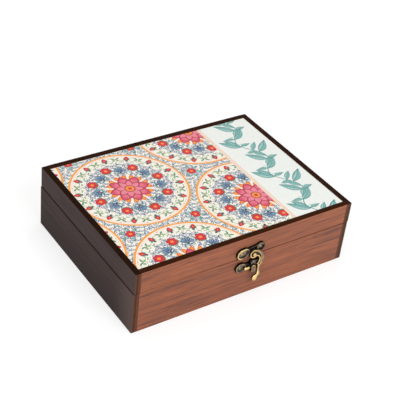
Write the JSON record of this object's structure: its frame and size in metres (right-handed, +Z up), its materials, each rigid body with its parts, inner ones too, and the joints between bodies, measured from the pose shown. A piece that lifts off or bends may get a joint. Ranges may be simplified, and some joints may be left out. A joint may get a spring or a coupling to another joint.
{
  "type": "tea bag organizer box",
  "caption": "Hinged board box with a printed lid, an egg-crate divider and a swing latch, for tea bags.",
  "frame": {"origin": "centre of the base's underside, on the surface that the box stands on", "axes": "+X along the front to the right as seen from the front, +Y towards the hinges at the back, +Z up"},
  "size_m": [0.2406, 0.1925, 0.0669],
  "materials": {
    "rosewood_laminate": "satin wood-grain laminate on fibreboard",
    "dark_laminate": "satin dark wood-grain laminate on fibreboard",
    "dark_board": "stained fibreboard",
    "printed_paper": "printed and laminated sheet",
    "antique_brass": "antique brass, dark in the hollows",
    "rubbed_brass": "antique brass, rubbed bright",
    "screw_brass": "antique brass"
  },
  "bodies": {
    "base": {"base_front_wall": "rosewood_laminate", "base_back_wall": "rosewood_laminate", "base_left_wall": "dark_laminate", "base_right_wall": "dark_laminate", "base_bottom": "dark_board", "long_divider": "dark_board", "cross_divider_left": "dark_board", "cross_divider_right": "dark_board", "hinge_base_leaf_left": "antique_brass", "hinge_pin_left": "antique_brass", "hinge_base_leaf_right": "antique_brass", "hinge_pin_right": "antique_brass", "hinge_base_screws": "screw_brass", "catch_plate": "antique_brass", "catch_post": "antique_brass", "catch_screws": "screw_brass"},
    "lid": {"lid_front_wall": "rosewood_laminate", "lid_back_wall": "rosewood_laminate", "lid_left_wall": "dark_laminate", "lid_right_wall": "dark_laminate", "lid_top": "dark_board", "printed_sheet": "printed_paper", "hinge_lid_leaf_left": "antique_brass", "hinge_lid_leaf_right": "antique_brass", "hinge_lid_screws": "screw_brass", "latch_plate": "antique_brass", "latch_rivet": "rubbed_brass", "latch_screws": "screw_brass"},
    "latch_arm": {"latch_arm": "rubbed_brass"}
  },
  "joints": [
    {"name": "lid_open", "type": "hinge", "parent": "base", "child": "lid", "pos_m": [0, 0.0918, 0.04475], "axis": [-1, 0, 0], "range_deg": [0, 105]},
    {"name": "latch_swing", "type": "hinge", "parent": "lid", "child": "latch_arm", "pos_m": [0.0042, -0.094, 0.0491], "axis": [0, -1, 0], "range_deg": [0, 80]}
  ]
}
